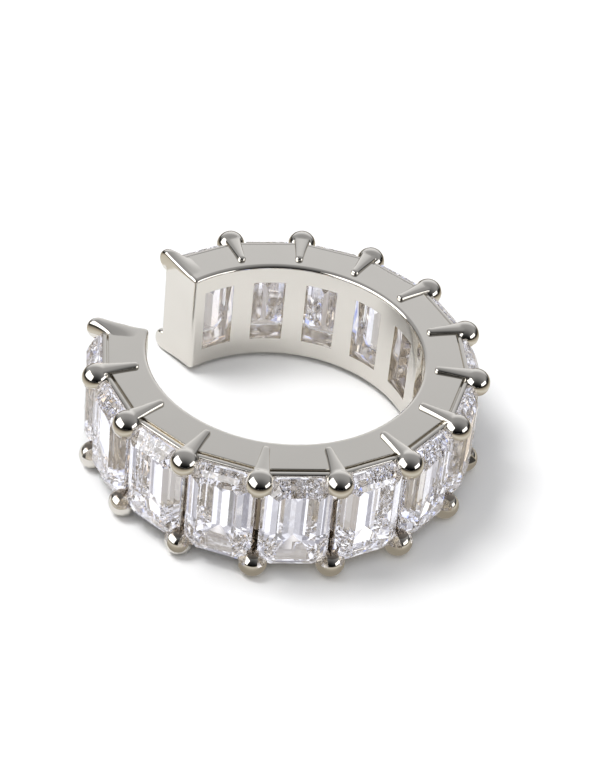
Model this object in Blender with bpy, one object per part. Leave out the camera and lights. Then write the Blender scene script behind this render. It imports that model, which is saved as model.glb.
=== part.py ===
"""Open ring ear cuff: a row of emerald-cut stones in a shared-prong setting of polished white metal.

The cuff lies on its side. Its ring axis is vertical and its gap faces -X. The origin is on the surface
that it rests on, under the middle of its box. All lengths are in metres and all angles in radians.
"""

import math
from collections import namedtuple

import bmesh
import bpy
from mathutils import Matrix, Vector

MM = 0.001

# The opening for the ear
INNER_RADIUS = 5.0 * MM
LEAST_EAR_GAP = 2.8 * MM

# One stone, seen from its table
STONE_WIDTH = 2.46 * MM
STONE_LENGTH = 3.96 * MM
CORNER_CUT = 0.46 * MM
GIRDLE_THICKNESS = 0.06 * MM
TABLE_WIDTH = 1.40 * MM
STONE_SPACING = 0.235 * MM
SEAT_CLEARANCE = 0.04 * MM

# Band
WALL = 0.38 * MM
KEEL_CLEARANCE = 0.0635 * MM
PLATE_THICKNESS = 0.45 * MM
PLATE_MARGIN = 0.15 * MM
PLATE_SETBACK = 0.36 * MM
EDGE_ROUNDING = 0.15 * MM
WINDOW_WIDTH = 1.20 * MM
WINDOW_HEIGHT = 2.67 * MM

# Rail along the stones' ends, stepped down from the plate
RAIL_SETBACK = 0.13 * MM
RAIL_STEP = 0.06 * MM

# Prongs between the stones
BEAD_RADIUS = 0.52 * MM
BEAD_STANDOFF = 0.07 * MM
BEAD_INSET = 0.17 * MM
WEB_THICKNESS = 0.42 * MM
WEB_SETBACK = 0.12 * MM
WEB_TRIM = 0.03 * MM
RIDGE_RISE = 0.15 * MM
RIDGE_ROOT_RADIUS = 0.28 * MM
RIDGE_TIP_RADIUS = 0.115 * MM
RIDGE_TIP_REACH = 0.38 * MM
RIDGE_NOSE_SHARE = 0.6

# End plates at the gap
END_PAST_PRONG = 0.13 * MM
END_THICKNESS = 0.44 * MM
LOBE_RADIUS = 0.44 * MM
LOBE_SETBACK = 0.09 * MM
LOBE_SLOPE = 0.90 * MM
LOBE_INSET = 0.01 * MM

# Facet counts
ARC_STEPS_PER_STONE = 5
BEAD_SIDES = 12
BEAD_RINGS = 8
RIDGE_SIDES = 10
LOBE_SLOPE_STEPS = 4
LOBE_TURN_STEPS = 8
ROUNDING_STEPS = 2

# Tolerances of the mesh work
CUT_TOLERANCE = 1e-5 * MM
MERGE_DISTANCE = 1e-3 * MM
FLAT_ANGLE = math.radians(0.5)

# A step of facets: its tilt from the girdle plane and its share of the whole inset
Step = namedtuple("Step", "tilt share")
CROWN_STEPS = (
    Step(math.radians(46), 0.30),
    Step(math.radians(38), 0.33),
    Step(math.radians(28), 0.37),
)
PAVILION_STEPS = (
    Step(math.radians(50), 0.25),
    Step(math.radians(45), 0.30),
    Step(math.radians(40), 0.45),
)

# Worked out from the sizes above
CROWN_INSET = (STONE_WIDTH - TABLE_WIDTH) / 2
CROWN_HEIGHT = sum(CROWN_INSET * step.share * math.tan(step.tilt) for step in CROWN_STEPS)
PAVILION_DEPTH = sum(STONE_WIDTH / 2 * step.share * math.tan(step.tilt) for step in PAVILION_STEPS)
POCKET_DISTANCE = INNER_RADIUS + WALL
GIRDLE_DISTANCE = POCKET_DISTANCE + KEEL_CLEARANCE + PAVILION_DEPTH + GIRDLE_THICKNESS
TABLE_DISTANCE = GIRDLE_DISTANCE + CROWN_HEIGHT
PITCH = 2 * math.atan((STONE_WIDTH + STONE_SPACING) / 2 / GIRDLE_DISTANCE)
LEAST_GAP_ANGLE = 2 * math.asin((LEAST_EAR_GAP / 2 + END_PAST_PRONG) / INNER_RADIUS)
STONE_COUNT = int((math.tau - LEAST_GAP_ANGLE) / PITCH)
FIRST_PRONG_ANGLE = math.pi + (math.tau - STONE_COUNT * PITCH) / 2
BAND_HALF_HEIGHT = STONE_LENGTH / 2 + PLATE_MARGIN
PLATE_DISTANCE = GIRDLE_DISTANCE - PLATE_SETBACK
RAIL_DISTANCE = GIRDLE_DISTANCE - RAIL_SETBACK
RAIL_HALF_HEIGHT = BAND_HALF_HEIGHT - RAIL_STEP
PRONG_RADIUS = GIRDLE_DISTANCE / math.cos(PITCH / 2)
BEAD_CIRCLE = PRONG_RADIUS + BEAD_STANDOFF
BEAD_HEIGHT = STONE_LENGTH / 2 - BEAD_INSET
LOBE_CIRCLE = BEAD_CIRCLE - LOBE_SETBACK
LOBE_HEIGHT = BEAD_HEIGHT + BEAD_RADIUS - LOBE_RADIUS

# The ring's axis stands over this point when the origin is under the middle of the box
HALF_GAP_ANGLE = FIRST_PRONG_ANGLE - math.pi
GAP_SIDE_REACH = (
    (LOBE_CIRCLE + LOBE_RADIUS) * math.cos(HALF_GAP_ANGLE)
    + (END_PAST_PRONG - LOBE_INSET - EDGE_ROUNDING) * math.sin(HALF_GAP_ANGLE)
)
RING_CENTRE = Vector((
    (GAP_SIDE_REACH - BEAD_CIRCLE - BEAD_RADIUS) / 2,
    0,
    BEAD_HEIGHT + BEAD_RADIUS,
))

METAL_COLOUR = (0.80, 0.79, 0.77, 1.0)
STONE_COLOUR = (0.93, 0.94, 0.98, 1.0)
STONE_REFRACTION = 2.16


def clear_scene():
    """Removes every object that the file starts with."""
    for old in list(bpy.data.objects):
        bpy.data.objects.remove(old, do_unlink=True)


def make_collection(name):
    """A new collection in the scene."""
    collection = bpy.data.collections.new(name)
    bpy.context.scene.collection.children.link(collection)
    return collection


def make_material(name, colour, metallic, roughness, refraction=None):
    """A Principled material of one colour. With a refraction it is clear."""
    material = bpy.data.materials.new(name)
    material.use_nodes = True
    shader = material.node_tree.nodes["Principled BSDF"]
    shader.inputs["Base Color"].default_value = colour
    shader.inputs["Metallic"].default_value = metallic
    shader.inputs["Roughness"].default_value = roughness
    if refraction:
        shader.inputs["IOR"].default_value = refraction
        shader.inputs["Transmission Weight"].default_value = 1.0
    return material


def prong_angle(index):
    """The direction of a prong line from the ring's axis. Lines 0 and STONE_COUNT are the two ends."""
    return FIRST_PRONG_ANGLE + index * PITCH


def ring_frame(angle):
    """Axes at the ring's centre: X counter-clockwise, Y up the axis and Z outward at that angle."""
    outward = Vector((math.cos(angle), math.sin(angle), 0))
    tangent = Vector((-math.sin(angle), math.cos(angle), 0))
    upward = Vector((0, 0, 1))
    turn = Matrix((tangent, upward, outward)).transposed().to_4x4()
    return Matrix.Translation(RING_CENTRE) @ turn


def along(angle, outward, sideways=0.0):
    """A point of the plan: outward along a direction, and sideways counter-clockwise from it."""
    direction = Vector((math.cos(angle), math.sin(angle)))
    return direction * outward + Vector((-direction.y, direction.x)) * sideways


def object_from_bmesh(mesh_data, name, collection):
    """Wraps a bmesh in an object of its own, placed by the vertices."""
    bmesh.ops.recalc_face_normals(mesh_data, faces=mesh_data.faces[:])
    mesh = bpy.data.meshes.new(name)
    mesh_data.to_mesh(mesh)
    mesh_data.free()
    made = bpy.data.objects.new(name, mesh)
    collection.objects.link(made)
    return made


def mark_as_tool(made):
    """Keeps a cutter or a piece that is fused into another out of the model."""
    made.hide_render = True
    made.display_type = "WIRE"
    return made


def prism(outline, half_height):
    """A flat outline in the ring's plan, raised to both sides of the ring's middle plane."""
    mesh_data = bmesh.new()
    floor = [mesh_data.verts.new((p.x, p.y, -half_height)) for p in outline]
    face = mesh_data.faces.new(floor)
    raised = bmesh.ops.extrude_face_region(mesh_data, geom=[face])["geom"]
    moved = [item for item in raised if isinstance(item, bmesh.types.BMVert)]
    bmesh.ops.translate(mesh_data, verts=moved, vec=(0, 0, 2 * half_height))
    return mesh_data


def inner_arc(radius):
    """The band's inner edge in plan, from the last end face back to the first."""
    trim = math.asin(END_PAST_PRONG / radius)
    start = prong_angle(STONE_COUNT) + trim
    end = prong_angle(0) - trim
    steps = ARC_STEPS_PER_STONE * STONE_COUNT
    return [along(start + (end - start) * i / steps, radius) for i in range(steps + 1)]


def outer_edges(distance):
    """Straight edges, one for each stone, that meet on the prong lines."""
    corner = distance / math.cos(PITCH / 2)
    return [along(prong_angle(i), corner) for i in range(STONE_COUNT + 1)]


def end_corners(angle, inner, outer, side):
    """The end plate's outer corners in plan, face first. Side is -1 at the first end, 1 at the last."""
    face = side * END_PAST_PRONG
    back = face - side * END_THICKNESS
    return [along(angle, outer, face), along(angle, outer, back), along(angle, inner, back)]


def on_inner_wall(vert):
    """Whether a vertex of the band lies on its inner wall."""
    return vert.co.xy.length < INNER_RADIUS * 1.001


def on_end_face(vert):
    """Whether a vertex of the band lies on one of its two end faces."""
    first = prong_angle(0)
    last = prong_angle(STONE_COUNT)
    tolerance = END_PAST_PRONG * 0.01
    to_first = vert.co.xy.dot(along(first, 0, -1)) - END_PAST_PRONG
    to_last = vert.co.xy.dot(along(last, 0, 1)) - END_PAST_PRONG
    return abs(to_first) < tolerance or abs(to_last) < tolerance


def is_rim(edge):
    """Whether an edge of the band runs along the top or the bottom of its inner wall."""
    level = edge.verts[0].co.z == edge.verts[1].co.z
    return level and all(on_inner_wall(v) for v in edge.verts)


def round_edges(mesh_data, edges, width):
    """Rounds some edges of a bmesh."""
    bmesh.ops.bevel(
        mesh_data, geom=edges, offset=width, segments=ROUNDING_STEPS, profile=0.5, affect="EDGES"
    )


def make_band(collection):
    """The band with its plates and end plates: rounded along the inner wall and round both end faces."""
    plate = outer_edges(PLATE_DISTANCE)
    inner = PLATE_DISTANCE / math.cos(PITCH / 2)
    first = end_corners(prong_angle(0), inner, PRONG_RADIUS, -1)
    last = end_corners(prong_angle(STONE_COUNT), inner, PRONG_RADIUS, 1)
    outline = first + plate[1:-1] + last[::-1] + inner_arc(INNER_RADIUS)
    mesh_data = prism(outline, BAND_HALF_HEIGHT)
    rounded = [edge for edge in mesh_data.edges if is_rim(edge) or all(on_end_face(v) for v in edge.verts)]
    round_edges(mesh_data, rounded, EDGE_ROUNDING)
    band = object_from_bmesh(mesh_data, "cuff_setting", collection)
    band.location = RING_CENTRE
    return band


def make_rail(collection):
    """The ledge round the band that the stones' ends rest on."""
    ends = (prong_angle(0), prong_angle(STONE_COUNT))
    middle = (INNER_RADIUS + PLATE_DISTANCE) / 2
    turn = (ends[0] - ends[1]) / STONE_COUNT
    arc = [along(ends[1] + turn * i, middle) for i in range(STONE_COUNT + 1)]
    outline = outer_edges(RAIL_DISTANCE) + arc
    rail = object_from_bmesh(prism(outline, RAIL_HALF_HEIGHT), "rail", collection)
    rail.location = RING_CENTRE
    return rail


def make_block(name, frame, size, centre, collection):
    """A plain block in a frame of the ring."""
    mesh_data = bmesh.new()
    bmesh.ops.create_cube(mesh_data, size=1.0, matrix=Matrix.LocRotScale(centre, None, size))
    block = object_from_bmesh(mesh_data, name, collection)
    block.matrix_world = frame
    return block


def make_web(index, collection):
    """The thin wall between two stones that carries the prong. The pockets trim its sides to their gap."""
    low = INNER_RADIUS + WALL / 2
    high = PRONG_RADIUS - WEB_SETBACK
    size = Vector((WEB_THICKNESS + 2 * WEB_TRIM, 2 * BEAD_HEIGHT, high - low))
    centre = Vector((0, 0, (low + high) / 2))
    return make_block(f"web_{index:02d}", ring_frame(prong_angle(index)), size, centre, collection)


def make_bead(index, side, collection):
    """A round bead at one end of a prong."""
    mesh_data = bmesh.new()
    bmesh.ops.create_uvsphere(
        mesh_data, u_segments=BEAD_SIDES, v_segments=BEAD_RINGS, radius=BEAD_RADIUS
    )
    bead = object_from_bmesh(mesh_data, f"bead_{index:02d}_{side:+d}", collection)
    angle = prong_angle(index)
    centre = Vector((*along(angle, BEAD_CIRCLE), side * BEAD_HEIGHT))
    bead.matrix_world = Matrix.Translation(RING_CENTRE + centre) @ Matrix.Rotation(angle, 4, "Z")
    return bead


def make_ridge(index, side, collection):
    """The tapered ridge that runs in from a bead over the plate, with a round nose."""
    outward = Vector((*along(prong_angle(index), 1.0), 0))
    tip_height = BAND_HALF_HEIGHT + RIDGE_RISE - RIDGE_TIP_RADIUS
    root_height = BAND_HALF_HEIGHT + RIDGE_RISE - RIDGE_ROOT_RADIUS
    tip = outward * (INNER_RADIUS + RIDGE_TIP_REACH) + Vector((0, 0, side * tip_height))
    root = outward * BEAD_CIRCLE + Vector((0, 0, side * root_height))
    length = (root - tip).length
    mesh_data = bmesh.new()
    bmesh.ops.create_cone(
        mesh_data, cap_ends=True, segments=RIDGE_SIDES, radius1=RIDGE_TIP_RADIUS,
        radius2=RIDGE_ROOT_RADIUS, depth=length, matrix=Matrix.Translation((0, 0, length / 2)),
    )
    nose = [edge for edge in mesh_data.edges if all(abs(v.co.z) < length / 2 for v in edge.verts)]
    round_edges(mesh_data, nose, RIDGE_TIP_RADIUS * RIDGE_NOSE_SHARE)
    ridge = object_from_bmesh(mesh_data, f"ridge_{index:02d}_{side:+d}", collection)
    turn = (root - tip).to_track_quat("Z", "Y").to_matrix().to_4x4()
    ridge.matrix_world = Matrix.Translation(RING_CENTRE + tip) @ turn
    return ridge


def lobe_outline():
    """A lobe seen along the band, as (outward, up) points: a smooth rise from the plate and a round end."""
    low = Vector((LOBE_CIRCLE - LOBE_SLOPE, BAND_HALF_HEIGHT - LOBE_INSET))
    rise = LOBE_HEIGHT + LOBE_RADIUS - low.y
    outline = []
    for i in range(LOBE_SLOPE_STEPS):
        share = i / LOBE_SLOPE_STEPS
        outline.append((low.x + LOBE_SLOPE * share, low.y + rise * share ** 2 * (3 - 2 * share)))
    for i in range(LOBE_TURN_STEPS + 1):
        turn = math.pi * i / LOBE_TURN_STEPS
        round_end = Vector((math.sin(turn), math.cos(turn))) * LOBE_RADIUS
        outline.append((LOBE_CIRCLE + round_end.x, LOBE_HEIGHT + round_end.y))
    outline.append((low.x, LOBE_HEIGHT - LOBE_RADIUS))
    return outline


def make_lobe(end, side, collection):
    """A rounded end prong, a touch behind its end face. End is prong line 0 or STONE_COUNT."""
    facing = -1 if end == 0 else 1
    front = END_PAST_PRONG - LOBE_INSET
    back = END_PAST_PRONG - END_THICKNESS + LOBE_INSET
    mesh_data = bmesh.new()
    face = mesh_data.faces.new([
        mesh_data.verts.new((facing * front, side * up, outward)) for outward, up in lobe_outline()
    ])
    raised = bmesh.ops.extrude_face_region(mesh_data, geom=[face])["geom"]
    moved = [item for item in raised if isinstance(item, bmesh.types.BMVert)]
    bmesh.ops.translate(mesh_data, verts=moved, vec=(facing * (back - front), 0, 0))
    rims = [edge for edge in mesh_data.edges if edge.verts[0].co.x == edge.verts[1].co.x]
    round_edges(mesh_data, rims, EDGE_ROUNDING)
    lobe = object_from_bmesh(mesh_data, f"lobe_{end:02d}_{side:+d}", collection)
    lobe.matrix_world = ring_frame(prong_angle(end))
    return lobe


def facet_planes():
    """(normal, distance) of each facet plane, seen from the middle of the girdle's upper edge."""
    half_width = STONE_WIDTH / 2
    half_length = STONE_LENGTH / 2
    corner = (half_width + half_length - CORNER_CUT) / math.sqrt(2)
    directions = [(Vector((sx, 0, 0)), half_width) for sx in (-1, 1)]
    directions += [(Vector((0, sy, 0)), half_length) for sy in (-1, 1)]
    directions += [(Vector((sx, sy, 0)).normalized(), corner) for sx in (-1, 1) for sy in (-1, 1)]
    planes = [(Vector((0, 0, 1)), CROWN_HEIGHT)]
    planes += directions
    sides = ((CROWN_STEPS, CROWN_INSET, 1, 0.0), (PAVILION_STEPS, half_width, -1, GIRDLE_THICKNESS))
    for steps, whole_inset, upward, start in sides:
        inset = 0.0
        height = start
        for step in steps:
            rise = Vector((0, 0, upward * math.cos(step.tilt)))
            for direction, reach in directions:
                distance = (reach - inset) * math.sin(step.tilt) + height * math.cos(step.tilt)
                planes.append((direction * math.sin(step.tilt) + rise, distance))
            inset += whole_inset * step.share
            height += whole_inset * step.share * math.tan(step.tilt)
    return planes


def cut_stone(name, allowance):
    """A block cut down by facet planes, the way a stone is cut. The allowance moves each plane outward."""
    mesh_data = bmesh.new()
    block = Vector((STONE_WIDTH * 2, STONE_LENGTH * 2, (CROWN_HEIGHT + PAVILION_DEPTH) * 4))
    bmesh.ops.create_cube(mesh_data, size=1.0, matrix=Matrix.Diagonal((*block, 1)))
    for normal, distance in facet_planes():
        cut = bmesh.ops.bisect_plane(
            mesh_data, geom=mesh_data.verts[:] + mesh_data.edges[:] + mesh_data.faces[:],
            plane_co=normal * (distance + allowance), plane_no=normal, dist=CUT_TOLERANCE, clear_outer=True,
        )
        rim = [item for item in cut["geom_cut"] if isinstance(item, bmesh.types.BMEdge)]
        if rim:
            bmesh.ops.contextual_create(mesh_data, geom=rim)
    bmesh.ops.remove_doubles(mesh_data, verts=mesh_data.verts[:], dist=MERGE_DISTANCE)
    bmesh.ops.dissolve_limit(
        mesh_data, angle_limit=FLAT_ANGLE, verts=mesh_data.verts[:], edges=mesh_data.edges[:]
    )
    bmesh.ops.recalc_face_normals(mesh_data, faces=mesh_data.faces[:])
    mesh = bpy.data.meshes.new(name)
    mesh_data.to_mesh(mesh)
    mesh_data.free()
    return mesh


def stone_frame(index):
    """The frame of one stone: at its girdle, with Z outward through its table."""
    angle = prong_angle(index + 0.5)
    return ring_frame(angle) @ Matrix.Translation((0, 0, GIRDLE_DISTANCE))


def make_stones(collection, material):
    """The row of stones, each an object of its own, all of one cut."""
    mesh = cut_stone("emerald_cut", 0.0)
    mesh.materials.append(material)
    for index in range(STONE_COUNT):
        stone = bpy.data.objects.new(f"stone_{index + 1:02d}", mesh)
        stone.matrix_world = stone_frame(index)
        collection.objects.link(stone)


def make_pocket(index, collection):
    """The room round a pavilion. It widens outward between the webs, behind it is the inner wall."""
    angle = prong_angle(index + 0.5)
    outer = TABLE_DISTANCE + LOBE_RADIUS + BEAD_RADIUS
    web_share = WEB_THICKNESS / 2 / math.cos(PITCH / 2)
    half_height = BAND_HALF_HEIGHT - PLATE_THICKNESS
    mesh_data = bmesh.new()
    corners = [
        mesh_data.verts.new((side * (distance * math.tan(PITCH / 2) - web_share), -half_height, distance))
        for distance, side in ((POCKET_DISTANCE, -1), (POCKET_DISTANCE, 1), (outer, 1), (outer, -1))
    ]
    face = mesh_data.faces.new(corners)
    raised = bmesh.ops.extrude_face_region(mesh_data, geom=[face])["geom"]
    moved = [item for item in raised if isinstance(item, bmesh.types.BMVert)]
    bmesh.ops.translate(mesh_data, verts=moved, vec=(0, 2 * half_height, 0))
    pocket = object_from_bmesh(mesh_data, f"pocket_{index:02d}", collection)
    pocket.matrix_world = ring_frame(angle)
    return pocket


def make_window(index, collection):
    """The hole through the inner wall behind a stone."""
    size = Vector((WINDOW_WIDTH, WINDOW_HEIGHT, 3 * WALL))
    centre = Vector((0, 0, INNER_RADIUS + WALL / 2))
    frame = ring_frame(prong_angle(index + 0.5))
    return make_block(f"window_{index:02d}", frame, size, centre, collection)


def make_seats(collection):
    """A cutter for each stone: its own cut, larger by the clearance."""
    mesh = cut_stone("seat", SEAT_CLEARANCE)
    for index in range(STONE_COUNT):
        seat = bpy.data.objects.new(f"seat_{index:02d}", mesh)
        seat.matrix_world = stone_frame(index)
        collection.objects.link(seat)


def add_boolean(target, operation, tools):
    """A Boolean modifier that fuses or cuts a target with every object of a collection."""
    modifier = target.modifiers.new(tools.name, "BOOLEAN")
    modifier.operation = operation
    modifier.operand_type = "COLLECTION"
    modifier.collection = tools
    modifier.solver = "EXACT"
    return modifier


def make_setting(collection, material):
    """The metal, all of it one casting: the band, what is fused to it and what is cut out of it."""
    setting = make_band(collection)
    setting.data.materials.append(material)
    fused = make_collection("fused_to_band")
    make_rail(fused)
    for index in range(1, STONE_COUNT):
        make_web(index, fused)
        for side in (-1, 1):
            make_bead(index, side, fused)
            make_ridge(index, side, fused)
    for end in (0, STONE_COUNT):
        for side in (-1, 1):
            make_lobe(end, side, fused)
    cutters = make_collection("cut_from_band")
    for index in range(STONE_COUNT):
        make_pocket(index, cutters)
        make_window(index, cutters)
    make_seats(cutters)
    for tools in (fused, cutters):
        for made in tools.objects:
            mark_as_tool(made)
    add_boolean(setting, "UNION", fused)
    weld = setting.modifiers.new("weld_close_points", "WELD")
    weld.merge_threshold = MERGE_DISTANCE
    add_boolean(setting, "DIFFERENCE", cutters)
    return setting


def main():
    """Builds the whole cuff."""
    clear_scene()
    cuff = make_collection("ear_cuff")
    metal = make_material("polished_white_metal", METAL_COLOUR, metallic=1.0, roughness=0.08)
    crystal = make_material(
        "clear_stone", STONE_COLOUR, metallic=0.0, roughness=0.0, refraction=STONE_REFRACTION
    )
    make_setting(cuff, metal)
    make_stones(cuff, crystal)


main()
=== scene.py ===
"""Looks of the ear cuff: the polished metal of its setting, its clear stones, and a pale studio round it.

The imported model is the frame. The stones stay as they are and get their material here. The setting is
modelled again at the same sizes with round beads, rounded edges and close seats, and replaces its solid.
"""

import math
from collections import namedtuple

import bmesh
import bpy
from mathutils import Matrix, Vector

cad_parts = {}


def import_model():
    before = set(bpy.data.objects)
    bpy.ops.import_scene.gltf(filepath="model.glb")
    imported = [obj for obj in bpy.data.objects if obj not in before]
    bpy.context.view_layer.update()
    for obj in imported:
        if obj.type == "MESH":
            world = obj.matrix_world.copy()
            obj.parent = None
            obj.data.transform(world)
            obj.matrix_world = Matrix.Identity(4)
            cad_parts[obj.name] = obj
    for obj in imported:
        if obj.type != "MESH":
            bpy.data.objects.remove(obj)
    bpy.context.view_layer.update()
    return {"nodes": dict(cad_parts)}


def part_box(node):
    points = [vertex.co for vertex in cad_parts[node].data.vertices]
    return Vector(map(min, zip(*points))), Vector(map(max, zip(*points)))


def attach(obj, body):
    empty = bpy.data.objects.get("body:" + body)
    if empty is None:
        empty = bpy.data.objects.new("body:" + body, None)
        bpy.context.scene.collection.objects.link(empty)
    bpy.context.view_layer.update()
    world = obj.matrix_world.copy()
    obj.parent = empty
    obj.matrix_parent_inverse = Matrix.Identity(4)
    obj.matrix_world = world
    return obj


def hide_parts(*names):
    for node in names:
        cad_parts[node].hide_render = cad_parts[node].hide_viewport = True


MM = 0.001

# Sizes of the setting, the same as the model's own
INNER_RADIUS = 5.0 * MM
STONE_WIDTH = 2.46 * MM
STONE_LENGTH = 3.96 * MM
CORNER_CUT = 0.46 * MM
GIRDLE_THICKNESS = 0.06 * MM
TABLE_WIDTH = 1.40 * MM
STONE_SPACING = 0.235 * MM
WALL = 0.38 * MM
KEEL_CLEARANCE = 0.0635 * MM
PLATE_THICKNESS = 0.45 * MM
PLATE_MARGIN = 0.15 * MM
PLATE_SETBACK = 0.36 * MM
EDGE_ROUNDING = 0.15 * MM
WINDOW_WIDTH = 1.20 * MM
WINDOW_HEIGHT = 2.67 * MM
RAIL_SETBACK = 0.13 * MM
RAIL_STEP = 0.06 * MM
BEAD_RADIUS = 0.52 * MM
BEAD_STANDOFF = 0.07 * MM
BEAD_INSET = 0.17 * MM
WEB_THICKNESS = 0.42 * MM
WEB_SETBACK = 0.12 * MM
RIDGE_RISE = 0.15 * MM
RIDGE_TIP_REACH = 0.38 * MM
END_PAST_PRONG = 0.13 * MM
END_THICKNESS = 0.44 * MM
LOBE_RADIUS = 0.44 * MM
LOBE_SETBACK = 0.09 * MM

# Finer sizes that only the looks have
SEAT_CLEARANCE = 0.025 * MM
GROOVE_WIDTH = 0.055 * MM
GROOVE_DEPTH = 0.12 * MM
RAIL_ROUNDING = 0.075 * MM
SMALL_ROUNDING = 0.022 * MM
BEAD_SKIN = 0.001 * MM
WEB_DEPTH = 0.30 * MM
WEB_ROUNDING = 0.19 * MM

# The recess between two stones, whose metal is painted darker as shade, since little light gets in there: how
# far out the painted shade starts, and its half height
PAINTED_SHADE_START = 5.9 * MM
PAINTED_SHADE_HALF_HEIGHT = 1.40 * MM

# A ridge's half widths, how late it widens, the length of its round nose, and the power that squares it
RIDGE_TIP_WIDTH = 0.145 * MM
RIDGE_ROOT_WIDTH = 0.34 * MM
RIDGE_FLARE = 1.4
RIDGE_NOSE = 0.11 * MM
RIDGE_SQUARE = 0.8
RIDGE_STATIONS = (0.0015, 0.012, 0.03, 0.06, 0.10, 0.15, 0.22, 0.35, 0.5, 0.65, 0.8, 1.0)
RIDGE_STEPS = 20

# The end prong: how little it stays below the faces that it joins, how much its reach is trimmed, how long it
# keeps its full height, where it has sunk into the plate, and the share of its radius that it has left there
LOBE_SKIN = 0.003 * MM
LOBE_TRIM = 0.012 * MM
LOBE_FULL = 0.22 * MM
LOBE_SWEEP = 0.75 * MM
LOBE_END_SHARE = 0.35
LOBE_RAMP_POWER = 1.35
LOBE_STEPS = 16

# How far a cell's parts pass the prong line before they are cut there, and the turn of one strip of the wall
CELL_MARGIN = math.radians(4)
WALL_STRIP = math.radians(1.3)
WALL_STRIPS = 12

# How far apart two things may be and count as one: points at a cut, places, welded points, distances from the
# ring's axis, and directions of normals. The last is the share of a coordinate that counts as the whole.
CUT_LIMIT = MM * 1e-5
PLACE_LIMIT = MM * 0.001
WELD_LIMIT = MM * 2e-4
WALL_LIMIT = MM * 0.01
NORMAL_LIMIT = 0.001
ALMOST = 0.999

# Turns between faces from which an edge is rounded a little, and from which it is shaded as sharp
ROUNDED_FROM = math.radians(40)
SHARP_FROM = math.radians(32)

# How far a face's normal may be off and still be the plates' or the inner wall's
PLATE_TILT = math.radians(0.8)
WALL_TILT = math.radians(3)

# A step of facets: its tilt from the girdle plane and its share of the whole inset
Step = namedtuple("Step", "tilt share")
CROWN_STEPS = (
    Step(math.radians(46), 0.30),
    Step(math.radians(38), 0.33),
    Step(math.radians(28), 0.37),
)
PAVILION_STEPS = (
    Step(math.radians(50), 0.25),
    Step(math.radians(45), 0.30),
    Step(math.radians(40), 0.45),
)

# Worked out from the sizes above
CROWN_INSET = (STONE_WIDTH - TABLE_WIDTH) / 2
CROWN_HEIGHT = sum(CROWN_INSET * step.share * math.tan(step.tilt) for step in CROWN_STEPS)
PAVILION_DEPTH = sum(STONE_WIDTH / 2 * step.share * math.tan(step.tilt) for step in PAVILION_STEPS)
POCKET_DISTANCE = INNER_RADIUS + WALL
GIRDLE_DISTANCE = POCKET_DISTANCE + KEEL_CLEARANCE + PAVILION_DEPTH + GIRDLE_THICKNESS
HALF_PITCH = math.atan((STONE_WIDTH + STONE_SPACING) / 2 / GIRDLE_DISTANCE)
BAND_HALF_HEIGHT = STONE_LENGTH / 2 + PLATE_MARGIN
PLATE_DISTANCE = GIRDLE_DISTANCE - PLATE_SETBACK
RAIL_DISTANCE = GIRDLE_DISTANCE - RAIL_SETBACK
RAIL_HALF_HEIGHT = BAND_HALF_HEIGHT - RAIL_STEP
PRONG_RADIUS = GIRDLE_DISTANCE / math.cos(HALF_PITCH)
BEAD_CIRCLE = PRONG_RADIUS + BEAD_STANDOFF
BEAD_HEIGHT = STONE_LENGTH / 2 - BEAD_INSET
LOBE_CIRCLE = BEAD_CIRCLE - LOBE_SETBACK
LOBE_HEIGHT = BEAD_HEIGHT + BEAD_RADIUS - LOBE_RADIUS

# Camera, as fitted to the photograph: lengths in metres, angles in degrees, image points in its pixels
CAMERA_AZIMUTH = 25.25
CAMERA_ELEVATION = 39.95
CAMERA_ROLL = 5.83
CAMERA_DISTANCE = 92.7 * MM
IMAGE_SIZE = (614, 763)
FOCAL_PIXELS = 2545
CENTRE_PIXEL = (281.2, 396.0)
SENSOR = 36.0

# Brightness of the studio by the cosine of the angle from the wall behind the cuff
SKY_STOPS = (
    (-1.00, 0.02), (-0.94, 0.02), (-0.85, 0.035), (-0.77, 0.065), (-0.50, 0.15), (0.00, 0.31),
    (0.60, 0.40), (0.70, 0.52), (0.77, 0.64), (0.90, 0.85), (1.00, 0.95),
)
SKY_TINT = (0.98, 0.985, 1.01)

# Between these heights the studio's sides brighten, and between these cosines the wall behind does
SIDES_FADE = (0.04, 0.42)
BACK_FADE = (0.45, 0.80)

# Colour of what the stones show, by its place round the ring: 0 and 1 at the camera's side, 0.5 behind
STONE_STOPS = (
    (0.000, (0.10, 0.10, 0.10)), (0.020, (0.45, 0.45, 0.50)), (0.040, (0.92, 0.93, 1.00)),
    (0.070, (0.20, 0.19, 0.22)), (0.100, (0.90, 0.91, 1.00)), (0.130, (0.32, 0.28, 0.25)),
    (0.160, (0.96, 0.97, 1.00)), (0.200, (0.24, 0.24, 0.34)), (0.225, (0.95, 0.70, 0.44)),
    (0.250, (0.94, 0.95, 1.00)), (0.320, (0.32, 0.33, 0.46)), (0.360, (0.95, 0.96, 1.00)),
    (0.430, (0.28, 0.25, 0.23)), (0.480, (0.42, 0.40, 0.38)), (0.530, (0.22, 0.20, 0.19)),
    (0.590, (0.50, 0.48, 0.47)), (0.640, (0.24, 0.22, 0.22)), (0.690, (0.94, 0.96, 1.00)),
    (0.730, (0.24, 0.32, 0.78)), (0.760, (0.95, 0.96, 1.00)), (0.810, (0.22, 0.21, 0.25)),
    (0.850, (0.95, 0.96, 1.00)), (0.890, (0.24, 0.21, 0.20)), (0.930, (0.92, 0.93, 1.00)),
    (0.960, (0.18, 0.18, 0.22)), (0.985, (0.45, 0.45, 0.50)), (1.000, (0.10, 0.10, 0.10)),
)
STONE_GLOW = 1.6

# Two tones of the metal, two darker tones of painted shade for the recess between stones, the range of the
# metal's roughness, and the scale of the clouds that mix them
METAL_TONES = ((0.785, 0.755, 0.70), (0.82, 0.79, 0.735))
RECESS_PAINTED_SHADE_TONES = ((0.34, 0.30, 0.255), (0.39, 0.345, 0.295))
METAL_ROUGHNESS = (0.045, 0.10)
METAL_CLOUDS = 900
STONE_TINT = (0.975, 0.98, 1.0)
STONE_IOR = 2.16

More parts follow.
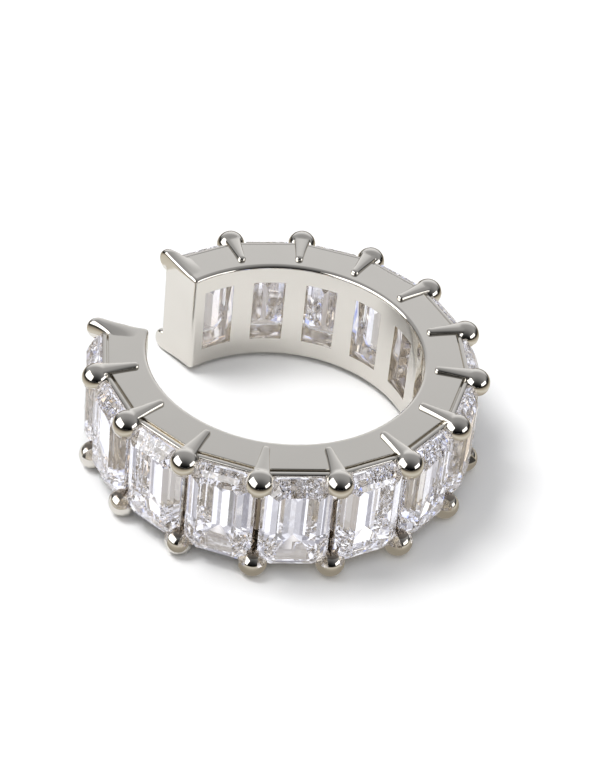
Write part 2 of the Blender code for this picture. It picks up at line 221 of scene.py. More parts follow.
FLOOR_WHITE = 0.93
FLOOR_SIZE = 0.8

# The card that only mirrors show, which glows with its own light: the round grey gel in it by the gap, and
# the colours of its glow round it outward, darker next to the ring as painted shadow of the floor under the
# cuff
GEL_RADIUS = 8.5 * MM
GEL_CENTRE = (-3.0 * MM, 0.6 * MM)
GEL_SHADE = 0.84
CARD_REACH = 400 * MM
CARD_LIFT = 0.02 * MM
CARD_FADE = 60 * MM
CARD_SIDES = 96
CARD_GLOW_STOPS = (
    (0.00, (0.30, 0.27, 0.22)), (0.128, (0.34, 0.31, 0.26)), (0.150, (0.52, 0.48, 0.41)),
    (0.185, (0.75, 0.72, 0.65)), (0.26, (0.50, 0.45, 0.37)),
    (0.42, (0.16, 0.14, 0.11)), (0.70, (0.03, 0.025, 0.02)), (1.00, (0.0, 0.0, 0.0)),
)


def solid_mesh(made):
    """The mesh of an object with its modifiers applied. The object is used up."""
    graph = bpy.context.evaluated_depsgraph_get()
    mesh = bpy.data.meshes.new_from_object(made.evaluated_get(graph))
    bpy.data.objects.remove(made)
    return mesh


def new_object(name, mesh):
    """An object at the origin that holds a mesh."""
    made = bpy.data.objects.new(name, mesh)
    bpy.context.scene.collection.objects.link(made)
    return made


def object_from_bmesh(mesh_data, name):
    """Wraps a bmesh in an object of its own."""
    bmesh.ops.recalc_face_normals(mesh_data, faces=mesh_data.faces[:])
    mesh = bpy.data.meshes.new(name)
    mesh_data.to_mesh(mesh)
    mesh_data.free()
    return new_object(name, mesh)


def combine(target, tools, operation):
    """Fuses or cuts a solid with others, and uses the others up."""
    for tool in tools:
        modifier = target.modifiers.new("combine", "BOOLEAN")
        modifier.operation = operation
        modifier.object = tool
        modifier.solver = "EXACT"
    name = target.name
    mesh = solid_mesh(target)
    for tool in tools:
        bpy.data.objects.remove(tool)
    return new_object(name, mesh)


def round_edges(mesh_data, edges, width, segments):
    """Rounds some edges of a bmesh."""
    bmesh.ops.bevel(mesh_data, geom=edges, offset=width, segments=segments, profile=0.5, affect="EDGES")


def prism(outline, low, high):
    """An outline in the plan of one stone's cell, raised from low to high. Points are (across, outward)."""
    mesh_data = bmesh.new()
    face = mesh_data.faces.new([mesh_data.verts.new((x, low, z)) for x, z in outline])
    raised = bmesh.ops.extrude_face_region(mesh_data, geom=[face])["geom"]
    moved = [item for item in raised if isinstance(item, bmesh.types.BMVert)]
    bmesh.ops.translate(mesh_data, verts=moved, vec=(0, high - low, 0))
    return mesh_data


def on_prong_line(outward, sideways=0.0):
    """A point of the cell's plan by its place along the prong line and across it."""
    s = math.sin(HALF_PITCH)
    c = math.cos(HALF_PITCH)
    return (outward * s + sideways * c, outward * c - sideways * s)


def prong_frame():
    """Axes of the prong line in the cell: X across it, Y up and Z outward."""
    return Matrix.Rotation(HALF_PITCH, 4, "Y")


def band_blank(is_end):
    """The solid of half a cell's band, from before the stone's middle to past the prong line or the end face.

    No strip of the wall ends near the window's edge or within the end face's rounding.
    """
    trim = math.asin(END_PAST_PRONG / INNER_RADIUS)
    start = -CELL_MARGIN
    stop = HALF_PITCH + (trim if is_end else CELL_MARGIN)
    window_edge = math.asin(WINDOW_WIDTH / 2 / INNER_RADIUS)
    between = [window_edge + (i + 0.5) * WALL_STRIP for i in range(WALL_STRIPS, -WALL_STRIPS - 1, -1)]
    clear = EDGE_ROUNDING * 1.2 / INNER_RADIUS if is_end else WALL_STRIP / 4
    angles = [stop] + [a for a in between if start + WALL_STRIP / 4 < a < stop - clear] + [start]
    arc = [(INNER_RADIUS * math.sin(a), INNER_RADIUS * math.cos(a)) for a in angles]
    outer = [(PLATE_DISTANCE * math.tan(start), PLATE_DISTANCE)]
    if is_end:
        back = END_PAST_PRONG - END_THICKNESS
        outer.append(((PLATE_DISTANCE * math.sin(HALF_PITCH) + back) / math.cos(HALF_PITCH), PLATE_DISTANCE))
        outer.append(on_prong_line(PRONG_RADIUS, back))
        outer.append(on_prong_line(PRONG_RADIUS, END_PAST_PRONG))
    else:
        outer.append((PLATE_DISTANCE * math.tan(stop), PLATE_DISTANCE))
    mesh_data = prism(arc + outer, -BAND_HALF_HEIGHT, BAND_HALF_HEIGHT)
    rims = []
    for edge in mesh_data.edges:
        ends = edge.verts
        level = ends[0].co.y == ends[1].co.y
        on_wall = all(Vector((v.co.x, v.co.z)).length < INNER_RADIUS / ALMOST for v in ends)
        across = [prong_frame().inverted() @ v.co for v in ends]
        on_face = is_end and all(abs(p.x - END_PAST_PRONG) < PLACE_LIMIT for p in across)
        if (level and on_wall) or on_face:
            rims.append(edge)
    round_edges(mesh_data, rims, EDGE_ROUNDING, segments=6)
    return object_from_bmesh(mesh_data, "band")


def box(low, high):
    """A plain box between two corners."""
    mesh_data = bmesh.new()
    matrix = Matrix.LocRotScale((low + high) / 2, None, high - low)
    bmesh.ops.create_cube(mesh_data, size=1.0, matrix=matrix)
    return mesh_data


def edges_where(mesh_data, test):
    """The edges of a bmesh whose two ends both pass a test of their place."""
    return [edge for edge in mesh_data.edges if all(test(vertex.co) for vertex in edge.verts)]


def pocket():
    """The room round a pavilion, between the webs."""
    outer = GIRDLE_DISTANCE + CROWN_HEIGHT + BEAD_RADIUS
    share = WEB_THICKNESS / 2 / math.cos(HALF_PITCH)
    outline = [
        (side * (distance * math.tan(HALF_PITCH) - share), distance)
        for distance, side in ((POCKET_DISTANCE, -1), (POCKET_DISTANCE, 1), (outer, 1), (outer, -1))
    ]
    half_height = BAND_HALF_HEIGHT - PLATE_THICKNESS
    return object_from_bmesh(prism(outline, -half_height, half_height), "pocket")


def window():
    """The hole through the inner wall behind a stone."""
    low = Vector((-WINDOW_WIDTH / 2, -WINDOW_HEIGHT / 2, INNER_RADIUS - WALL))
    high = Vector((WINDOW_WIDTH / 2, WINDOW_HEIGHT / 2, INNER_RADIUS + 2 * WALL))
    return object_from_bmesh(box(low, high), "window")


def rail(is_end):
    """The bar along the stone's upper end, with a groove between it and the plate, and the ledge below."""
    reach = PLATE_DISTANCE * math.tan(HALF_PITCH + (0 if is_end else CELL_MARGIN))
    low = Vector((-reach, RAIL_HALF_HEIGHT - 2 * GROOVE_DEPTH, PLATE_DISTANCE + GROOVE_WIDTH))
    high = Vector((reach, RAIL_HALF_HEIGHT, RAIL_DISTANCE))
    bar = box(low, high)
    outer = edges_where(bar, lambda place: place.y > high.y * ALMOST and place.z > high.z * ALMOST)
    round_edges(bar, outer, RAIL_ROUNDING, segments=5)
    inner = edges_where(bar, lambda place: place.y > high.y * ALMOST and place.z < low.z / ALMOST)
    round_edges(bar, inner, RAIL_ROUNDING / 2, segments=3)
    ledge = box(
        Vector((-reach, BEAD_HEIGHT / 2, PLATE_DISTANCE - WALL)),
        Vector((reach, RAIL_HALF_HEIGHT - GROOVE_DEPTH, RAIL_DISTANCE - GROOVE_WIDTH / 2)),
    )
    return [object_from_bmesh(ledge, "ledge"), object_from_bmesh(bar, "bar")]


def web():
    """The thin wall between two stones, rounded at its front."""
    low = Vector((-WEB_THICKNESS / 2, -BEAD_HEIGHT, INNER_RADIUS + WALL / 2))
    high = Vector((WEB_THICKNESS / 2, BEAD_HEIGHT, PRONG_RADIUS - WEB_SETBACK - WEB_DEPTH))
    mesh_data = box(low, high)
    front = edges_where(mesh_data, lambda place: place.z > low.z / ALMOST)
    upright = [edge for edge in front if edge.verts[0].co.x == edge.verts[1].co.x]
    round_edges(mesh_data, upright, WEB_ROUNDING, segments=4)
    bmesh.ops.transform(mesh_data, verts=mesh_data.verts[:], matrix=prong_frame())
    return object_from_bmesh(mesh_data, "web")


def bead():
    """The round bead at the top of a prong."""
    mesh_data = bmesh.new()
    place = Matrix.Translation((0, BEAD_HEIGHT, BEAD_CIRCLE)) @ Matrix.Rotation(math.pi / 2, 4, "X")
    bmesh.ops.create_uvsphere(
        mesh_data, u_segments=56, v_segments=28, radius=BEAD_RADIUS - BEAD_SKIN, matrix=prong_frame() @ place,
    )
    return object_from_bmesh(mesh_data, "bead")


def loft(sections, name):
    """A closed solid through sections of equally many points, given in the prong's frame."""
    mesh_data = bmesh.new()
    rings = [[mesh_data.verts.new(point) for point in section] for section in sections]
    for one, other in zip(rings, rings[1:]):
        for i in range(len(one)):
            j = (i + 1) % len(one)
            mesh_data.faces.new((one[i], one[j], other[j], other[i]))
    mesh_data.faces.new(rings[0])
    mesh_data.faces.new(rings[-1][::-1])
    bmesh.ops.transform(mesh_data, verts=mesh_data.verts[:], matrix=prong_frame())
    return object_from_bmesh(mesh_data, name)


def ridge():
    """The tapered ridge from the bead over the plate: level on top, steep at its sides, with a round nose."""
    tip = INNER_RADIUS + RIDGE_TIP_REACH
    length = BEAD_CIRCLE - tip
    sections = []
    for share in RIDGE_STATIONS:
        run = length * share
        nose = min(1.0, run / RIDGE_NOSE)
        swell = math.sqrt(1 - (1 - nose) ** 2)
        half = (RIDGE_TIP_WIDTH + (RIDGE_ROOT_WIDTH - RIDGE_TIP_WIDTH) * share ** RIDGE_FLARE) * swell
        rise = RIDGE_RISE * swell
        section = []
        for i in range(RIDGE_STEPS + 1):
            a = -math.pi / 2 + math.pi * i / RIDGE_STEPS
            across = math.copysign(abs(math.sin(a)) ** RIDGE_SQUARE, a) * half
            section.append((across, BAND_HALF_HEIGHT + rise * math.cos(a) ** RIDGE_SQUARE, tip + run))
        section.append((half, BAND_HALF_HEIGHT - RIDGE_RISE, tip + run))
        section.append((-half, BAND_HALF_HEIGHT - RIDGE_RISE, tip + run))
        sections.append(section)
    return loft(sections, "ridge")


def lobe():
    """The end prong: a tab that the end plate rises to, rounded outward, and swept back into the plate."""
    turns = [math.radians(a) for a in (90, 75, 60, 45, 30, 15, 0)]
    stations = [(EDGE_ROUNDING * (1 - math.sin(a)), EDGE_ROUNDING * (1 - math.cos(a))) for a in turns]
    stations += [(LOBE_SWEEP * i / LOBE_STEPS, 0.0) for i in range(4, LOBE_STEPS + 1)]
    base = BAND_HALF_HEIGHT - LOBE_SKIN
    inner = INNER_RADIUS + 2 * EDGE_ROUNDING
    full_reach = LOBE_CIRCLE + LOBE_RADIUS - LOBE_TRIM - PLATE_DISTANCE
    sections = []
    for behind, inset in stations:
        share = min(1.0, max(0.0, (behind - LOBE_FULL) / (LOBE_SWEEP - LOBE_FULL)))
        fade = 1 - share ** 2 * (3 - 2 * share)
        radius = LOBE_RADIUS * (LOBE_END_SHARE + (1 - LOBE_END_SHARE) * fade)
        top = base + (LOBE_HEIGHT + LOBE_RADIUS - base) * fade
        centre = PLATE_DISTANCE - LOBE_SKIN + full_reach * fade - radius
        middle = top - radius
        section = []
        for i in range(LOBE_STEPS):
            run = i / LOBE_STEPS
            up = base + (top - base) * run ** LOBE_RAMP_POWER - inset
            section.append((inner + (centre - inner) * run, up))
        for i in range(LOBE_STEPS + 1):
            turn = math.pi * i / LOBE_STEPS
            away = radius - inset
            section.append((centre + away * math.sin(turn), middle + away * math.cos(turn)))
        section.append((inner, middle - radius + inset))
        sections.append([(END_PAST_PRONG - LOBE_SKIN - behind, up, outward) for outward, up in section])
    return loft(sections, "lobe")


def facet_planes():
    """(normal, distance) of each facet plane of a stone.

    Its axes are across, up and outward, from the middle of the girdle's outer edge.
    """
    half_width = STONE_WIDTH / 2
    half_length = STONE_LENGTH / 2
    corner = (half_width + half_length - CORNER_CUT) / math.sqrt(2)
    directions = [(Vector((sx, 0, 0)), half_width) for sx in (-1, 1)]
    directions += [(Vector((0, sy, 0)), half_length) for sy in (-1, 1)]
    directions += [(Vector((sx, sy, 0)).normalized(), corner) for sx in (-1, 1) for sy in (-1, 1)]
    planes = [(Vector((0, 0, 1)), CROWN_HEIGHT)]
    planes += directions
    sides = ((CROWN_STEPS, CROWN_INSET, 1, 0.0), (PAVILION_STEPS, half_width, -1, GIRDLE_THICKNESS))
    for steps, whole_inset, upward, start in sides:
        inset = 0.0
        height = start
        for step in steps:
            rise = Vector((0, 0, upward * math.cos(step.tilt)))
            for direction, reach in directions:
                distance = (reach - inset) * math.sin(step.tilt) + height * math.cos(step.tilt)
                planes.append((direction * math.sin(step.tilt) + rise, distance))
            inset += whole_inset * step.share
            height += whole_inset * step.share * math.tan(step.tilt)
    return planes


def seat():
    """A cutter of the stone's own cut, a little larger than the stone."""
    mesh_data = bmesh.new()
    size = Vector((STONE_WIDTH * 2, STONE_LENGTH * 2, (CROWN_HEIGHT + PAVILION_DEPTH) * 4))
    bmesh.ops.create_cube(mesh_data, size=1.0, matrix=Matrix.Diagonal((*size, 1)))
    for normal, distance in facet_planes():
        cut = bmesh.ops.bisect_plane(
            mesh_data, geom=mesh_data.verts[:] + mesh_data.edges[:] + mesh_data.faces[:],
            plane_co=normal * (distance + SEAT_CLEARANCE), plane_no=normal, dist=CUT_LIMIT, clear_outer=True,
        )
        rim = [item for item in cut["geom_cut"] if isinstance(item, bmesh.types.BMEdge)]
        if rim:
            bmesh.ops.contextual_create(mesh_data, geom=rim)
    bmesh.ops.remove_doubles(mesh_data, verts=mesh_data.verts[:], dist=PLACE_LIMIT)
    bmesh.ops.translate(mesh_data, verts=mesh_data.verts[:], vec=(0, 0, GIRDLE_DISTANCE))
    return object_from_bmesh(mesh_data, "seat")


def soften(made, width, segments=2):
    """Rounds every sharp edge of an object a little."""
    modifier = made.modifiers.new("soften", "BEVEL")
    modifier.width = width
    modifier.segments = segments
    modifier.limit_method = "ANGLE"
    modifier.angle_limit = ROUNDED_FROM
    modifier.use_clamp_overlap = True
    name = made.name
    return new_object(name, solid_mesh(made))


def keep_side(mesh_data, point, normal):
    """Cuts a mesh by a plane, and leaves it open there. What lies on the normal's side goes."""
    bmesh.ops.bisect_plane(
        mesh_data, geom=mesh_data.verts[:] + mesh_data.edges[:] + mesh_data.faces[:],
        plane_co=point, plane_no=normal, dist=CUT_LIMIT, clear_outer=True,
    )


def quarter_cell(is_end):
    """One quarter of a cell: from the stone's middle to the prong line or the end face, above mid-height."""
    base = band_blank(is_end)
    base = combine(base, [pocket(), window()], "DIFFERENCE")
    base = soften(base, SMALL_ROUNDING)
    added = rail(is_end)
    added += [lobe()] if is_end else [web(), bead(), ridge()]
    base = combine(base, added, "UNION")
    base = combine(base, [pocket(), seat()], "DIFFERENCE")
    mesh_data = bmesh.new()
    mesh_data.from_mesh(base.data)
    bpy.data.objects.remove(base)
    keep_side(mesh_data, (0, 0, 0), (0, -1, 0))
    keep_side(mesh_data, (0, 0, 0), (-1, 0, 0))
    if not is_end:
        keep_side(mesh_data, (0, 0, 0), prong_frame() @ Vector((1, 0, 0)))
        to_prong = prong_frame().inverted()
        # The web's faces in the recess between stones take the second material: darker metal as painted shade
        for face in mesh_data.faces:
            middle = to_prong @ face.calc_center_median()
            is_web = abs(middle.x) < WEB_THICKNESS / 2 and middle.z > PAINTED_SHADE_START
            if is_web and middle.y < PAINTED_SHADE_HALF_HEIGHT:
                face.material_index = 1
    made = bpy.data.meshes.new("end_quarter" if is_end else "quarter")
    mesh_data.to_mesh(made)
    mesh_data.free()
    return made


def set_true_normals(mesh, ring_centre):
    """Gives the inner wall a cylinder's normals and the plates a plane's.

    It does so at every corner that was shaded as one with a corner of theirs.
    """
    normals = [corner.vector.copy() for corner in mesh.corner_normals]
    turned = {}
    for face in mesh.polygons:
        height = abs(face.center.z - ring_centre.z)
        is_level = abs(face.normal.z) > math.cos(PLATE_TILT)
        is_plate = is_level and abs(height - BAND_HALF_HEIGHT) < PLACE_LIMIT
        inward = Vector((ring_centre.x - face.center.x, ring_centre.y - face.center.y, 0)).normalized()
        if not is_plate and face.normal.dot(inward) < math.cos(WALL_TILT):
            continue
        for index in face.loop_indices:
            vertex = mesh.loops[index].vertex_index
            place = mesh.vertices[vertex].co
            across = Vector((ring_centre.x - place.x, ring_centre.y - place.y, 0))
            if is_plate:
                true_normal = Vector((0, 0, math.copysign(1, face.normal.z)))
            elif abs(across.length - INNER_RADIUS) < WALL_LIMIT:
                true_normal = across.normalized()
            else:
                continue
            turned.setdefault(vertex, []).append((normals[index].copy(), true_normal))
    for loop in mesh.loops:
        for shared, true_normal in turned.get(loop.vertex_index, ()):
            if (normals[loop.index] - shared).length < NORMAL_LIMIT:
                normals[loop.index] = true_normal
                break
    mesh.normals_split_custom_set(normals)


def make_setting(ring_centre, stone_count):
    """The whole setting: quarter cells, mirrored and turned round the ring, and welded."""
    quarter = quarter_cell(False)
    end_quarter = quarter_cell(True)
    whole = bmesh.new()
    first_prong = math.pi + (math.tau - stone_count * 2 * HALF_PITCH) / 2
    for index in range(stone_count):
        angle = first_prong + (2 * index + 1) * HALF_PITCH
        outward = Vector((math.cos(angle), math.sin(angle), 0))
        tangent = Vector((-math.sin(angle), math.cos(angle), 0))
        cell = Matrix((tangent, Vector((0, 0, 1)), outward)).transposed().to_4x4()
        for across in (-1, 1):
            is_end = (index == 0 and across < 0) or (index == stone_count - 1 and across > 0)
            for upward in (-1, 1):
                piece = (end_quarter if is_end else quarter).copy()
                piece.transform(cell @ Matrix.Diagonal((across, upward, 1, 1)))
                if across * upward < 0:
                    piece.flip_normals()
                whole.from_mesh(piece)
                bpy.data.meshes.remove(piece)
    bmesh.ops.remove_doubles(whole, verts=whole.verts[:], dist=WELD_LIMIT)
    bmesh.ops.translate(whole, verts=whole.verts[:], vec=ring_centre)
    mesh = bpy.data.meshes.new("polished_setting")
    whole.to_mesh(mesh)
    whole.free()
    mesh.shade_smooth()
    mesh.set_sharp_from_angle(angle=SHARP_FROM)
    made = new_object("polished_setting", mesh)
    modifier = made.modifiers.new("flat_faces_stay_flat", "WEIGHTED_NORMAL")
    modifier.keep_sharp = True
    modifier.weight = 60
    made = new_object("polished_setting", solid_mesh(made))
    set_true_normals(made.data, ring_centre)
    return made


def new_material(name):
    """An empty node material with its output and a Principled shader."""
    material = bpy.data.materials.new(name)
    material.use_nodes = True
    nodes = material.node_tree.nodes
    return material, nodes, material.node_tree.links, nodes["Principled BSDF"]


def colour_ramp(nodes, stops):
    """A colour ramp with these stops, each a position and a colour. The first is at 0 and the last at 1."""
    ramp = nodes.new("ShaderNodeValToRGB")
    elements = ramp.color_ramp.elements
    for position, colour in stops[1:-1]:
        elements.new(position)
    for element, (position, colour) in zip(elements, stops):
        element.position = position
        element.color = (*colour, 1)
    return ramp


def metal_material(name, tones):
    """Polished metal, nearly a mirror, with faint cloudiness between two tones."""
    material, nodes, links, shader = new_material(name)
    place = nodes.new("ShaderNodeTexCoord")
    clouds = nodes.new("ShaderNodeTexNoise")
    clouds.inputs["Scale"].default_value = METAL_CLOUDS
    clouds.inputs["Detail"].default_value = 4
    links.new(place.outputs["Object"], clouds.inputs["Vector"])
    shine = nodes.new("ShaderNodeMapRange")
    shine.inputs["To Min"].default_value = METAL_ROUGHNESS[0]
    shine.inputs["To Max"].default_value = METAL_ROUGHNESS[1]
    links.new(clouds.outputs["Fac"], shine.inputs["Value"])
    links.new(shine.outputs["Result"], shader.inputs["Roughness"])
    tone = nodes.new("ShaderNodeMix")
    tone.data_type = "RGBA"
    tone.inputs["A"].default_value = (*tones[0], 1)
    tone.inputs["B"].default_value = (*tones[1], 1)
    links.new(clouds.outputs["Fac"], tone.inputs["Factor"])
    links.new(tone.outputs["Result"], shader.inputs["Base Color"])
    shader.inputs["Metallic"].default_value = 1.0
    return material


def stone_material():
    """Clear, colourless stone of high refraction."""
    material, nodes, links, shader = new_material("clear_stone")
    shader.inputs["Base Color"].default_value = (*STONE_TINT, 1)
    shader.inputs["Roughness"].default_value = 0.0
    shader.inputs["IOR"].default_value = STONE_IOR
    shader.inputs["Transmission Weight"].default_value = 1.0
    return material


def make_camera(ring_centre):
    """The camera at the photograph's angle, with the ring's centre at its pixel."""
    azimuth = math.radians(CAMERA_AZIMUTH)
    elevation = math.radians(CAMERA_ELEVATION)
    roll = math.radians(CAMERA_ROLL)
    back = Vector((
        math.sin(azimuth) * math.cos(elevation),
        -math.cos(azimuth) * math.cos(elevation),
        math.sin(elevation),
    ))
    forward = -back
    right = Vector((math.cos(azimuth), math.sin(azimuth), 0))
    up = right.cross(forward)
    turned_right = right * math.cos(roll) + up * math.sin(roll)
    turned_up = up * math.cos(roll) - right * math.sin(roll)
    pan = math.atan((CENTRE_PIXEL[0] - IMAGE_SIZE[0] / 2) / FOCAL_PIXELS)
    tilt = math.atan((IMAGE_SIZE[1] / 2 - CENTRE_PIXEL[1]) / FOCAL_PIXELS)
    panned = forward * math.cos(pan) - turned_right * math.sin(pan)
    final_right = turned_right * math.cos(pan) + forward * math.sin(pan)
    final_forward = panned * math.cos(tilt) - turned_up * math.sin(tilt)
    final_up = final_right.cross(final_forward)
    data = bpy.data.cameras.new("camera")
    data.sensor_width = SENSOR
    data.lens = FOCAL_PIXELS * SENSOR / max(IMAGE_SIZE)
    data.clip_start = MM
    data.clip_end = 10
    camera = bpy.data.objects.new("camera", data)
    camera.matrix_world = Matrix.Translation(ring_centre + back * CAMERA_DISTANCE) @ Matrix((
        final_right, final_up, -final_forward
    )).transposed().to_4x4()
    bpy.context.scene.collection.objects.link(camera)
    bpy.context.scene.camera = camera


def direction(azimuth, elevation):
    """A direction by its azimuth to the right of the camera's side and its elevation, both in degrees."""
    a = math.radians(azimuth + CAMERA_AZIMUTH)
    e = math.radians(elevation)
    return Vector((math.sin(a) * math.cos(e), -math.cos(a) * math.cos(e), math.sin(e)))


def softbox(name, azimuth, elevation, distance, width, height, radiance):
    """A rectangular light that only mirrors show. Radiance is how bright it looks in them."""
    data = bpy.data.lights.new(name, "AREA")
    data.shape = "RECTANGLE"
    data.size = width
    data.size_y = height
    data.energy = radiance * math.pi * width * height
    made = bpy.data.objects.new(name, data)
    away = direction(azimuth, elevation)
    facing = away.to_track_quat("Z", "Y").to_matrix().to_4x4()
    made.matrix_world = Matrix.Translation(away * distance) @ facing
    made.visible_diffuse = False
    made.visible_transmission = False
    bpy.context.scene.collection.objects.link(made)
    return made


def floor_light(name, azimuth, elevation, distance, width, share):
    """A square light that mirrors don't show. Share is the brightness that it gives the floor."""
    made = softbox(name, azimuth, elevation, distance, width, width, 1.0)
    away = math.sin(math.radians(elevation))
    made.data.energy = math.pi ** 2 * share * distance ** 2 / (FLOOR_WHITE * away)
    made.visible_diffuse = True
    made.visible_glossy = False
    return made


def make_world():
    """The studio round the cuff: white behind it, grey overhead and dark towards the camera."""
    world = bpy.data.worlds.new("studio")
    bpy.context.scene.world = world
    world.use_nodes = True
    nodes = world.node_tree.nodes
    links = world.node_tree.links
    background = nodes["Background"]
    place = nodes.new("ShaderNodeTexCoord")
    split = nodes.new("ShaderNodeSeparateXYZ")
    links.new(place.outputs["Generated"], split.inputs["Vector"])
    behind = nodes.new("ShaderNodeVectorMath")
    behind.operation = "DOT_PRODUCT"
    behind.inputs[1].default_value = direction(180, 0)
    links.new(place.outputs["Generated"], behind.inputs[0])
    spread = nodes.new("ShaderNodeMapRange")
    spread.inputs["From Min"].default_value = -1
    links.new(behind.outputs["Value"], spread.inputs["Value"])
    ramp = colour_ramp(nodes, [
        ((cosine + 1) / 2, [radiance * tint for tint in SKY_TINT]) for cosine, radiance in SKY_STOPS
    ])
    links.new(spread.outputs["Result"], ramp.inputs["Fac"])
    bright = nodes.new("ShaderNodeMath")
    bright.operation = "MAXIMUM"
    fades = ((split.outputs["Z"], SIDES_FADE), (behind.outputs["Value"], BACK_FADE))
    for term, (source, (dark, light)) in zip(bright.inputs, fades):
        fade = nodes.new("ShaderNodeMapRange")
        fade.interpolation_type = "SMOOTHSTEP"
        fade.inputs["From Min"].default_value = dark
        fade.inputs["From Max"].default_value = light
        links.new(source, fade.inputs["Value"])
        links.new(fade.outputs["Result"], term)
    links.new(ramp.outputs["Color"], background.inputs["Color"])
    links.new(bright.outputs["Value"], background.inputs["Strength"])
    make_stone_surround(nodes, links, place, background)


def make_stone_surround(nodes, links, place, background):
    """What is seen through the stones: bright, grey and tinted upright strips, dark at the camera's side."""
    turned = nodes.new("ShaderNodeVectorRotate")
    turned.rotation_type = "Z_AXIS"
    turned.inputs["Angle"].default_value = -math.radians(CAMERA_AZIMUTH)
    links.new(place.outputs["Generated"], turned.inputs["Vector"])
    split = nodes.new("ShaderNodeSeparateXYZ")
    links.new(turned.outputs["Vector"], split.inputs["Vector"])
    round_about = nodes.new("ShaderNodeMath")
    round_about.operation = "ARCTAN2"
    links.new(split.outputs["X"], round_about.inputs[0])
    links.new(split.outputs["Y"], round_about.inputs[1])
    spread = nodes.new("ShaderNodeMapRange")
    spread.inputs["From Min"].default_value = -math.pi
    spread.inputs["From Max"].default_value = math.pi
    links.new(round_about.outputs["Value"], spread.inputs["Value"])
    ramp = colour_ramp(nodes, STONE_STOPS)
    links.new(spread.outputs["Result"], ramp.inputs["Fac"])
    surround = nodes.new("ShaderNodeBackground")
    surround.inputs["Strength"].default_value = STONE_GLOW
    links.new(ramp.outputs["Color"], surround.inputs["Color"])
    path = nodes.new("ShaderNodeLightPath")
    through = nodes.new("ShaderNodeMath")
    through.operation = "GREATER_THAN"
    through.inputs[1].default_value = 0.5
    links.new(path.outputs["Transmission Depth"], through.inputs[0])
    choice = nodes.new("ShaderNodeMixShader")
    links.new(through.outputs["Value"], choice.inputs["Fac"])
    links.new(background.outputs["Background"], choice.inputs[1])
    links.new(surround.outputs["Background"], choice.inputs[2])
    links.new(choice.outputs["Shader"], nodes["World Output"].inputs["Surface"])


def make_floor():
    """A wide pale floor, which isn't seen through the stones."""
    mesh_data = bmesh.new()
    bmesh.ops.create_grid(mesh_data, x_segments=1, y_segments=1, size=FLOOR_SIZE)
    floor = object_from_bmesh(mesh_data, "floor")
    material, nodes, links, shader = new_material("pale_floor")
    shader.inputs["Base Color"].default_value = (FLOOR_WHITE, FLOOR_WHITE, FLOOR_WHITE, 1)
    shader.inputs["Roughness"].default_value = 0.6
    shader.inputs["Specular IOR Level"].default_value = 0.2
    floor.data.materials.append(material)
    floor.visible_transmission = False


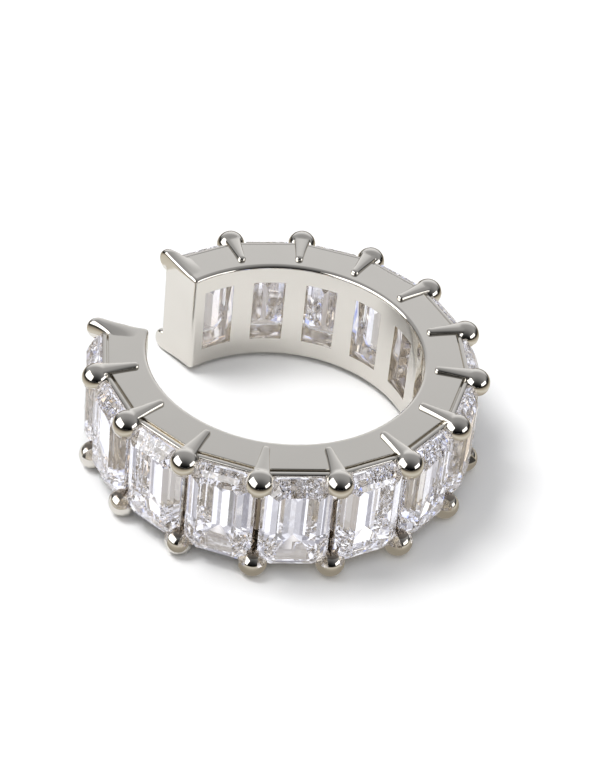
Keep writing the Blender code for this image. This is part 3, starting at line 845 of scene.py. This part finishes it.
def make_reflection_card():
    """A tan card on the floor that only mirrors show and that glows with its own light, with a round grey gel
    in it by the gap.

    It dims what the metal reflects of the floor. Next to the ring its glow is darker, as painted shadow of
    the floor under the cuff.
    """
    mesh_data = bmesh.new()
    turns = [math.tau * i / CARD_SIDES for i in range(CARD_SIDES)]
    rings = []
    for (x, y), radius in ((GEL_CENTRE, GEL_RADIUS), ((0, 0), CARD_REACH)):
        places = [(x + radius * math.cos(a), y + radius * math.sin(a), CARD_LIFT) for a in turns]
        rings.append([mesh_data.verts.new(place) for place in places])
    for i in range(CARD_SIDES):
        j = (i + 1) % CARD_SIDES
        mesh_data.faces.new((rings[0][i], rings[0][j], rings[1][j], rings[1][i]))
    mesh_data.faces.new(rings[0]).material_index = 1
    card = object_from_bmesh(mesh_data, "reflection_card")
    material, nodes, links, shader = new_material("glowing_tan_card")
    shader.inputs["Base Color"].default_value = (0.0, 0.0, 0.0, 1)
    shader.inputs["Specular IOR Level"].default_value = 0.0
    shader.inputs["Emission Strength"].default_value = 1.0
    place = nodes.new("ShaderNodeTexCoord")
    distance = nodes.new("ShaderNodeVectorMath")
    distance.operation = "LENGTH"
    links.new(place.outputs["Object"], distance.inputs[0])
    spread = nodes.new("ShaderNodeMapRange")
    spread.inputs["From Max"].default_value = CARD_FADE
    links.new(distance.outputs["Value"], spread.inputs["Value"])
    # The card's glow by distance, darker next to the ring as painted shadow under the cuff
    ramp = colour_ramp(nodes, CARD_GLOW_STOPS)
    links.new(spread.outputs["Result"], ramp.inputs["Fac"])
    links.new(ramp.outputs["Color"], shader.inputs["Emission Color"])
    card.data.materials.append(material)
    material, nodes, links, shader = new_material("grey_gel")
    gel = nodes.new("ShaderNodeBsdfTransparent")
    gel.inputs["Color"].default_value = (GEL_SHADE, GEL_SHADE, GEL_SHADE, 1)
    links.new(gel.outputs["BSDF"], nodes["Material Output"].inputs["Surface"])
    card.data.materials.append(material)
    card.visible_camera = False
    card.visible_diffuse = False
    card.visible_transmission = False
    card.visible_shadow = False


def main():
    """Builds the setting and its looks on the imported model, and the studio round them."""
    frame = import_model()
    nodes = frame["nodes"]
    low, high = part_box("cuff_setting")
    ring_centre = Vector((high.x - BEAD_CIRCLE - BEAD_RADIUS, 0, (low.z + high.z) / 2))
    stones = [node for name, node in nodes.items() if name.startswith("stone_")]
    make_camera(ring_centre)
    setting = make_setting(ring_centre, len(stones))
    setting.data.materials.append(metal_material("polished_white_metal", METAL_TONES))
    # The second material is the metal painted darker as shade in the recess between the stones
    setting.data.materials.append(metal_material("recess_painted_shade", RECESS_PAINTED_SHADE_TONES))
    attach(setting, "root")
    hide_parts("cuff_setting")
    crystal = stone_material()
    for stone in stones:
        stone.data.materials.clear()
        stone.data.materials.append(crystal)
    make_world()
    make_floor()
    make_reflection_card()
    softbox("left_softbox", azimuth=-66, elevation=27, distance=0.30, width=0.40, height=0.24, radiance=2.2)
    softbox("right_softbox", azimuth=68, elevation=14, distance=0.30, width=0.24, height=0.10, radiance=2.2)
    floor_light("key", azimuth=-100, elevation=62, distance=0.60, width=0.25, share=0.55)
    floor_light("front_fill", azimuth=0, elevation=50, distance=0.60, width=0.60, share=0.30)
    floor_light("overhead", azimuth=0, elevation=88, distance=0.50, width=0.50, share=0.15)
    scene = bpy.context.scene
    scene.view_settings.view_transform = "Standard"
    # Light turns back many times inside a stone before it leaves
    scene.cycles.max_bounces = 48
    scene.cycles.glossy_bounces = 32
    scene.cycles.transmission_bounces = 32


main()
